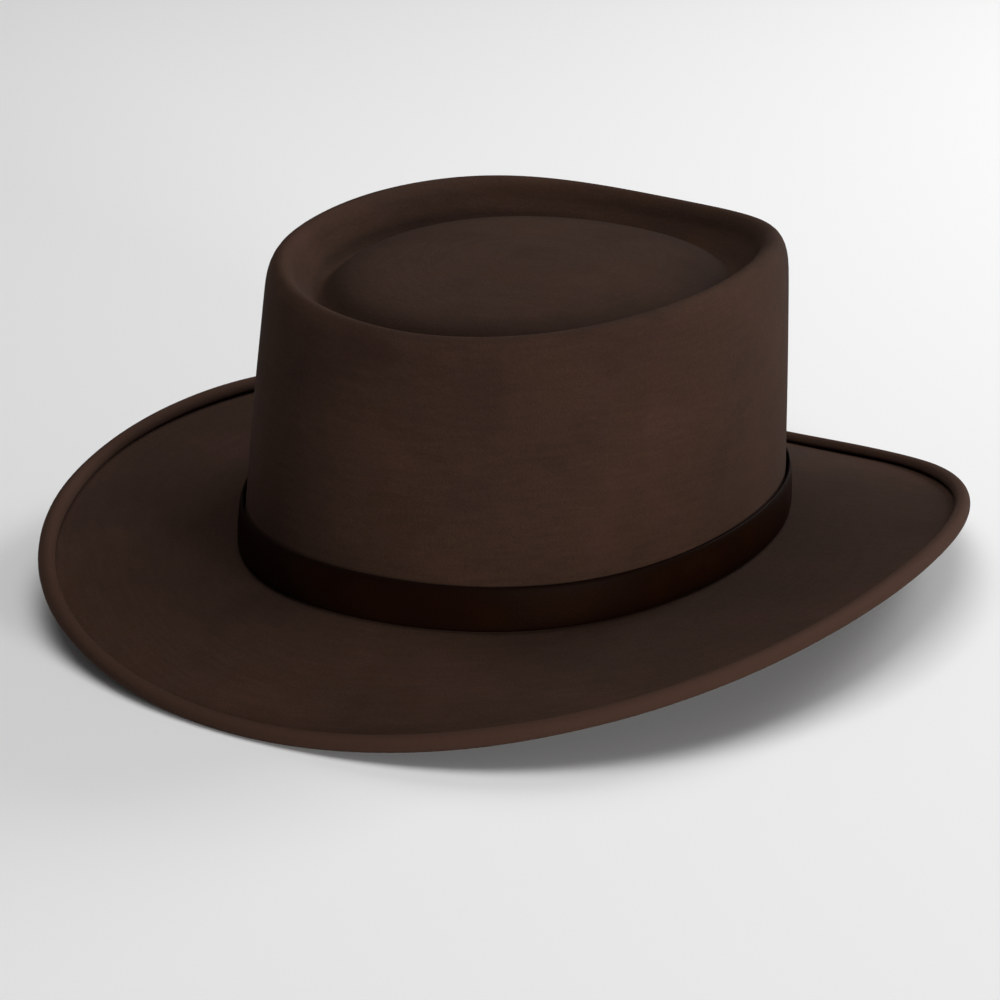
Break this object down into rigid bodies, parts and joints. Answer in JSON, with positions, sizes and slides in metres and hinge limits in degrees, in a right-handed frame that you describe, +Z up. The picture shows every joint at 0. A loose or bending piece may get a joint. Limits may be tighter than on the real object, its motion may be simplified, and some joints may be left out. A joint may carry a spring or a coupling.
{
  "type": "gambler hat",
  "caption": "Brown felt hat with a low oval crown sunk on top, a wide brim that rises at the sides and curls up at its edge, and a plain leather band round the crown.",
  "frame": {"origin": "on the resting surface, under the middle of the hat", "axes": "+Z up through the crown, -Y the front of the hat, +X the wearer's left side"},
  "size_m": [0.301, 0.339, 0.1188],
  "materials": {
    "felt": "matt brown felt with a short nap",
    "leather": "smooth dark brown leather with a low sheen"
  },
  "bodies": {
    "root": {"felt_body": "felt", "hat_band": "leather"}
  },
  "joints": []
}
